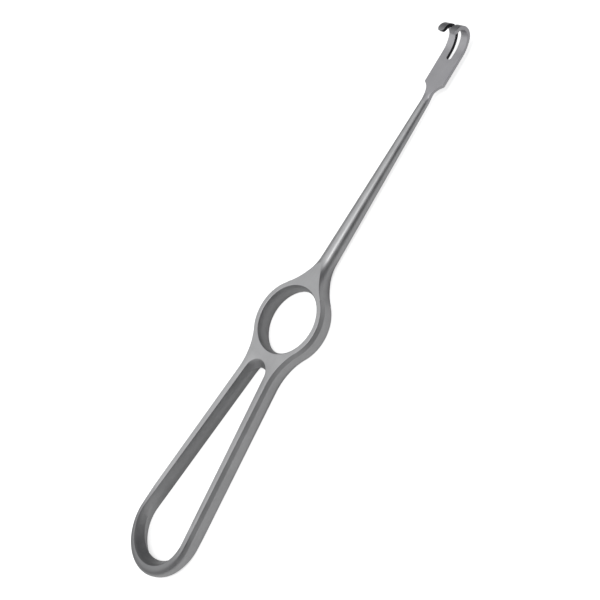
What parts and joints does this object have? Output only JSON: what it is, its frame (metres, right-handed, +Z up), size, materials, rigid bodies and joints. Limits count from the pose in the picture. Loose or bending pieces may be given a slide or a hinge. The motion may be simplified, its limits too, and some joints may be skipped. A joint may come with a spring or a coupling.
{
  "type": "blunt rake retractor",
  "caption": "Hand-held surgical retractor with an open grip loop, a finger ring, a tapered round shaft and a flat slotted plate whose blunt prongs bend back into hooks.",
  "frame": {"origin": "middle of the bounding box's bottom face, on the ground back faces that the tool lies on", "axes": "+X along the tool from the grip loop to the prongs, +Z up out of the tool's front, the side that the prongs bend towards"},
  "size_m": [0.217, 0.03, 0.0128],
  "materials": {
    "satin_steel": "satin ground stainless steel",
    "filler": "sealed brazing filler, not visible"
  },
  "bodies": {
    "root": {"grip_loop": "satin_steel", "finger_ring": "satin_steel", "shaft": "satin_steel", "rake_head": "satin_steel", "web_braze": "filler", "root_braze": "filler", "neck_braze": "filler"}
  },
  "joints": []
}
